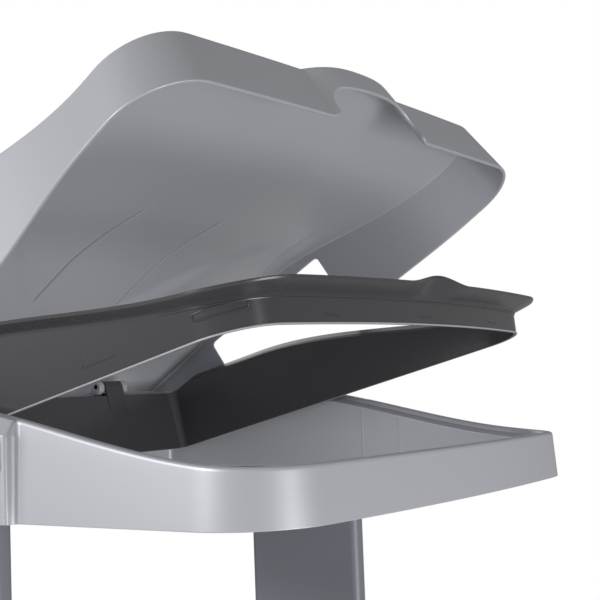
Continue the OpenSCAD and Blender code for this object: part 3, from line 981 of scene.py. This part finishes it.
class HOLDER_OT_base(bpy.types.Operator):
    """Builds the base tray, its sockets and its feet"""

    bl_idname = "holder.base"
    bl_label = "Base"

    def execute(self, context):
        w = layout()
        s = w.s
        low, place = s.foot_height, w.ground()
        high, floor, top = low + s.base_wall_height, low + 0.003, low + 0.058
        box = -w.cover_out, s.base_front, 2 * w.cover_out, s.base_depth
        profile = [
            (0.004, low), (0.0012, low + 0.0012), (0, low + 0.004), (0, high - 0.0015),
            (0.0004, high - 0.0004), (0.0015, high), (0.0026, high - 0.0004),
            (0.003, high - 0.0015), (0.003, floor + 0.006), (0.0042, floor + 0.002),
            (0.0075, floor),
        ]
        dress(rounded_box("base_tray_shell", box, 0.045, 0.004, profile, place, 14), "base_tray")

        wall = w.sleeve_wall
        box = (
            w.socket_in, w.column_front - SLIP - wall, w.sleeve_out - w.socket_in,
            s.column_depth + 2 * (wall + SLIP),
        )
        profile = [
            (0, floor), (0, top - 0.0012), (0.0004, top - 0.0003), (0.0012, top),
            (wall - 0.0004, top - 0.0001), (wall, top - 0.0006), (wall, floor),
        ]
        socket = rounded_box("right_socket", box, 0.008, 0.001, profile, place, closed=True)
        dress(join("base_tray_sockets", [mirrored(socket, "left_socket"), socket]))

        inset, tall, wide = 0.034, s.foot_height, s.foot_radius
        pad = [(0, 0), (wide - 0.004, 0), (wide - 0.0026, 0.0004), (wide - 0.002, 0.0012)]
        pad += [(wide - 0.0004, tall - 0.0014), (wide, tall - 0.0008), (wide, tall), (0, tall)]
        for name in ("front_left", "front_right", "rear_left", "rear_right"):
            x = (w.cover_out - inset) * (-1 if "left" in name else 1)
            y = s.base_front + (inset if "front" in name else s.base_depth - inset)
            foot = turned(f"foot_{name}_pad", pad, (x, y, 0), (0, 0, 1), place)
            dress(foot, f"foot_{name}", slot="foot_rubber")
        return {"FINISHED"}


class HOLDER_OT_hardware(bpy.types.Operator):
    """Builds the screws and the hinge pins"""

    bl_idname = "holder.hardware"
    bl_label = "Hardware"

    def execute(self, context):
        w = layout()
        s, place = w.s, w.to_part()
        centre = w.column_x + s.column_thickness / 2
        for kind, x, heading, places in (
            ("frame", w.sleeve_out, 1, [(y, s.stand_height + 0.045) for y in w.screw_ys]),
            ("joiner", w.column_x, -1,
             [(w.column_middle, w.column_joint + end * 0.0225) for end in SIDES]),
            ("base", w.socket_in, -1, [(y, w.column_foot + 0.022) for y in w.screw_ys]),
        ):
            seats = [(side * x, y, z, side * heading) for side in SIDES for y, z in places]
            self.screws(kind + "_screws", w, abs(x - centre), seats)

        lid_y, lid_z = w.lid_hinge
        seat = w.lid_side(lid_z - 0.007) + 0.0004 - w.boss_start
        pin = [(0, 0), (0.0035, 0), (0.004, 0.0006), (0.004, seat), (0.007, seat)]
        pin += [(0.007, seat + 0.001), (0.0064, seat + 0.0018), (0.005, seat + 0.0023)]
        pin += [(0.003, seat + 0.0024), (0.0026, seat + 0.0018), (0, seat + 0.0016)]
        reach = w.lug_width / 2 + w.ear_gap + 2 * w.ear_half
        rod = [(0, -reach), (0.0021, -reach), (0.0025, 0.0004 - reach)]
        rod += [(radius, -along) for radius, along in reversed(rod)]
        for side, name in zip(SIDES, ("left", "right")):
            for hinge, profile, middle in (
                ("lid", pin, (side * w.boss_start, lid_y, lid_z)),
                ("ring", rod, (side * w.lug_x, *w.ring_hinge)),
            ):
                thing = turned(f"{hinge}_pin_{name}", profile, middle, (side, 0, 0), place)
                dress(thing, f"{hinge}_hinge_pin_{name}", slot="steel")
        return {"FINISHED"}

    def screws(self, node, w, shank, seats):
        """Pan-head screws with a cross recess, one on each seat (x, y, z, heading)."""
        thing = plain_object(node + "_set", [(x, y - w.middle_y, z) for x, y, z, _ in seats])
        heading = thing.data.attributes.new("heading", "FLOAT_VECTOR", "POINT")
        for value, (*_, towards) in zip(heading.data, seats):
            value.vector = (towards, 0, 0)
        grow(thing, screw_tree(), "steel", {
            "Shank Length": shank, "Shank Radius": 0.002, "Head Radius": 0.004,
            "Head Height": 0.0018,
        })
        smooth(thing, 40)
        dress(thing, node, slot="steel")


class HOLDER_OT_trim(bpy.types.Operator):
    """Builds the ring's marks and painted edge highlight, the ribs under the lid and the frame's
    seams
    """

    bl_idname = "holder.trim"
    bl_label = "Marks and ribs"

    def execute(self, context):
        w = layout()
        self.ring(w)
        self.lid(w)
        self.frame(w)
        return {"FINISHED"}

    def ring(self, w):
        foot = w.s.ring_foot
        outline = w.ring_outline()

        def on_wall(row, z, out):
            """Point on the outside of the ring's drafted wall, at a height."""
            rim = w.rim(outline.at(row)[1])
            return (*outline.at(row, w.ring_draft * (rim - z) / (rim - foot) - out), z)

        def mark(row, start, end, z, half, out=0.0):
            """A long loop on the wall, from one place of a kind of row to another."""
            loop = []
            for a in turns(48):
                along, up = (
                    math.copysign(abs(v) ** 0.35, v) for v in (math.cos(a), math.sin(a))
                )
                loop.append(on_wall(row(blend(start, end, (along + 1) / 2)), z + half * up, out))
            return loop

        def corner(share):
            return "corner", share

        def mirror(path):
            return [(-x, y, z) for x, y, z in path]

        def add(name, loops, radius, closed=True, finish=None):
            place = w.ring_place()
            beads(name, loops, radius, place, "clamp_ring", "dark_plastic", closed, finish)

        loop = mark(corner, 0.37, 0.93, 0.0298, 0.0023, 0.0001)
        add("clamp_ring_corner_marks", [loop, mirror(loop)], 0.0006)
        loops = []
        for loop in (
            mark(outline.side_at, 0.13, 0.155, 0.0275, 0.001),
            mark(outline.front_at, 0.099, 0.112, 0.022, 0.0007),
        ):
            loops += [loop, mirror(loop)]
        loops.append(mark(outline.front_at, 0.008, -0.007, 0.022, 0.0007))
        add("clamp_ring_small_marks", loops, 0.0003)

        # A thin bead along the ring's lower edge, many times lighter than the ring, is a painted
        # highlight
        half = [on_wall(row, foot + 0.0004, 0.0001) for row in outline.rows(side=40)]
        loop = half + mirror(reversed(half[1:]))
        add("clamp_ring_trimmed_edge", [loop], 0.00055, finish="trimmed")

        rows = [("front", i / 16) for i in range(16)] + [corner(i / 16) for i in range(17)]
        rows += [outline.side_at(0.075 + 0.005 * i) for i in range(9)]
        half = []
        for row in rows:
            y = outline.at(row)[1]
            sunk = 0.0016 * ease((y - 0.08) / 0.03)
            half.append(on_wall(row, w.rim(y) - 0.0014, 0.0003 - sunk))
        add("clamp_ring_step", [mirror(reversed(half[1:])) + half], 0.0006, closed=False)

    def lid(self, w):
        """Two ribs along the middle and the sharp outer edges of the pads."""

        def under(x, y, sunk):
            return x, y, w.lid_top(y) - w.s.lid_wall + 0.0016 * sunk

        fold = [(0.159, 0.142, 1), (0.161, 0.148, 0.4), (0.187, 0.223, 0.1)]
        fold += [(0.191, 0.236, 0.1), (0.195, 0.25, 1)]
        paths = []
        for side in SIDES:
            rib = [
                under(side * 0.045, y, max(ease((0.17 - y) / 0.03), ease((y - 0.28) / 0.02)))
                for y in (0.14 + 0.005 * i for i in range(33))
            ]
            edge = []
            for a, b in zip(fold, fold[1:]):
                for share in (k / 8 for k in range(8)):
                    x, y, sunk = (blend(c, d, share) for c, d in zip(a, b))
                    edge.append(under(side * x, y, sunk))
            paths += [rib, edge]
        beads("lid_ribs", paths, 0.0014, w.lid_place(), "lid")

    def frame(self, w):
        """Upright seams in front of the sleeves, on the inside of the frame's wall."""
        x, front = w.half - w.s.rim_width + 0.0003, w.sleeve_y[0]
        paths = []
        for side in SIDES:
            for y in (front - 0.035, front):
                high = w.rim(y) - 0.009
                paths.append([(side * x, y, blend(0.006, high, k / 6)) for k in range(7)])
        beads("frame_seams", paths, 0.0007, w.to_part(), "stand")


def grow(thing, tree, finish, values):
    """Runs a tree on an object, with its inputs given by name, and keeps the mesh it makes."""
    modifier = thing.modifiers.new(tree.name, "NODES")
    modifier.node_group = tree
    values = {**values, "Finish": moulded(*FINISHES[finish])}
    for item in tree.interface.items_tree:
        if item.item_type == "SOCKET" and item.in_out == "INPUT" and item.name in values:
            modifier[item.identifier] = values[item.name]
    settle(thing)


def beads(name, paths, radius, place, body, slot="silver_plastic", closed=False, finish=None):
    """A piece of round beads along paths of points, which close or don't."""
    points, edges = [], []
    for path in paths:
        first = len(points)
        points += [place @ Vector(point) for point in path]
        edges += [(i, i + 1) for i in range(first, len(points) - 1)]
        if closed:
            edges.append((len(points) - 1, first))
    thing = plain_object(name, points, edges)
    grow(thing, bead_tree(), finish or slot, {"Bead Radius": radius})
    shape = bmesh.new()
    shape.from_mesh(thing.data)
    bmesh.ops.remove_doubles(shape, verts=shape.verts, dist=1e-7)
    bmesh.ops.recalc_face_normals(shape, faces=shape.faces)
    shape.to_mesh(thing.data)
    shape.free()
    dress(shade(thing), body=body, slot=slot, finish=finish)


def new_tree(name, numbers):
    """A geometry node tree that takes geometry, numbers and a finish, with what it is given."""
    tree = bpy.data.node_groups.new(name, "GeometryNodeTree")
    inputs = [("Geometry", "Geometry"), *((number, "Float") for number in numbers)]
    for given, kind in (*inputs, ("Finish", "Material")):
        tree.interface.new_socket(given, in_out="INPUT", socket_type="NodeSocket" + kind)
    tree.interface.new_socket("Geometry", in_out="OUTPUT", socket_type="NodeSocketGeometry")
    nodes = Nodes(tree)
    return nodes, nodes.add("NodeGroupInput").outputs


def end_tree(nodes, geometry, finish):
    """Ends a tree with real geometry in its finish."""
    real = nodes.add("GeometryNodeRealizeInstances", {"Geometry": geometry})
    painted = nodes.add("GeometryNodeSetMaterial", {"Geometry": real, "Material": finish})
    nodes.add("NodeGroupOutput", {0: painted})
    return nodes.tree


def bead_tree():
    """Node tree that draws a round bead along every line of a mesh."""
    if "beads" in bpy.data.node_groups:
        return bpy.data.node_groups["beads"]
    nodes, given = new_tree("beads", ["Bead Radius"])
    path = nodes.add("GeometryNodeMeshToCurve", {"Mesh": given["Geometry"]})
    section = nodes.add(
        "GeometryNodeCurvePrimitiveCircle", {"Resolution": 8, "Radius": given["Bead Radius"]},
        mode="RADIUS",
    )
    skin = nodes.add(
        "GeometryNodeCurveToMesh", {"Curve": path, "Profile Curve": section, "Fill Caps": True}
    )
    return end_tree(nodes, skin, given["Finish"])


def screw_tree():
    """Node tree that puts one screw on each point, headed along the point's heading."""
    if "screws" in bpy.data.node_groups:
        return bpy.data.node_groups["screws"]
    names = "Shank Length", "Shank Radius", "Head Radius", "Head Height"
    nodes, given = new_tree("screws", names)
    shank_h, shank_r, head_r, head_h = (Number(nodes, given[name]) for name in names)

    def size(x, y, z):
        return nodes.add("ShaderNodeCombineXYZ", {"X": x, "Y": y, "Z": z})

    def raised(thing, z):
        return nodes.add(
            "GeometryNodeTransform", {"Geometry": thing, "Translation": size(0.0, 0.0, z)}
        )

    shank = nodes.add(
        "GeometryNodeMeshCylinder", {"Vertices": 20, "Radius": shank_r, "Depth": shank_h},
        fill_type="NGON",
    )
    ball = nodes.add("GeometryNodeMeshUVSphere", {"Segments": 32, "Rings": 16, "Radius": head_r})
    flatness = size(1.0, 1.0, head_h / head_r)
    head = nodes.add("GeometryNodeTransform", {"Geometry": ball, "Scale": flatness})
    cutters = [
        raised(nodes.add("GeometryNodeMeshCube", {"Size": size(x, y, z)}), place)
        for x, y, z, place in (
            (head_r * 1.3, head_r * 0.28, head_h * 1.1, head_h),
            (head_r * 0.28, head_r * 1.3, head_h * 1.1, head_h),
            (head_r * 4.0, head_r * 4.0, head_h * 2.0, head_h * -1.0),
        )
    ]
    for cutter in cutters:
        head = nodes.add(
            "GeometryNodeMeshBoolean", {"Mesh 1": head, "Mesh 2": cutter}, operation="DIFFERENCE"
        )
    whole = nodes.add("GeometryNodeJoinGeometry", {0: raised(shank, shank_h * -0.5)})
    nodes.tree.links.new(head.outputs[0], whole.inputs[0])
    heading = nodes.add(
        "GeometryNodeInputNamedAttribute", {"Name": "heading"}, data_type="FLOAT_VECTOR"
    )
    turn = nodes.add("FunctionNodeAlignRotationToVector", {"Vector": heading}, axis="Z")
    points = nodes.add("GeometryNodeMeshToPoints", {"Mesh": given["Geometry"]})
    placed = nodes.add(
        "GeometryNodeInstanceOnPoints", {"Points": points, "Instance": whole, "Rotation": turn}
    )
    return end_tree(nodes, placed, given["Finish"])


OPERATORS = (
    HOLDER_OT_stage, HOLDER_OT_lid, HOLDER_OT_clamp_ring, HOLDER_OT_top_frame,
    HOLDER_OT_sleeve_covers, HOLDER_OT_columns, HOLDER_OT_base, HOLDER_OT_hardware,
    HOLDER_OT_trim,
)


class HOLDER_PT_panel(bpy.types.Panel):
    """Lists the pieces of the holder"""

    bl_idname = "HOLDER_PT_panel"
    bl_label = "Trash Bag Holder"
    bl_space_type = "VIEW_3D"
    bl_region_type = "UI"
    bl_category = "Bag Holder"

    def draw(self, context):
        for operator in OPERATORS:
            self.layout.operator(operator.bl_idname)


CLASSES = (HolderSizes, HolderColours, *OPERATORS, HOLDER_PT_panel)


def register():
    for cls in CLASSES:
        bpy.utils.register_class(cls)
    bpy.types.Scene.holder_sizes = PointerProperty(type=HolderSizes)
    bpy.types.Scene.holder_colours = PointerProperty(type=HolderColours)


def unregister():
    del bpy.types.Scene.holder_colours
    del bpy.types.Scene.holder_sizes
    for cls in reversed(CLASSES):
        bpy.utils.unregister_class(cls)


def main():
    """Builds everything in order."""
    register()
    for operator in OPERATORS:
        group, name = operator.bl_idname.split(".")
        getattr(getattr(bpy.ops, group), name)()


if __name__ == "__main__":
    main()
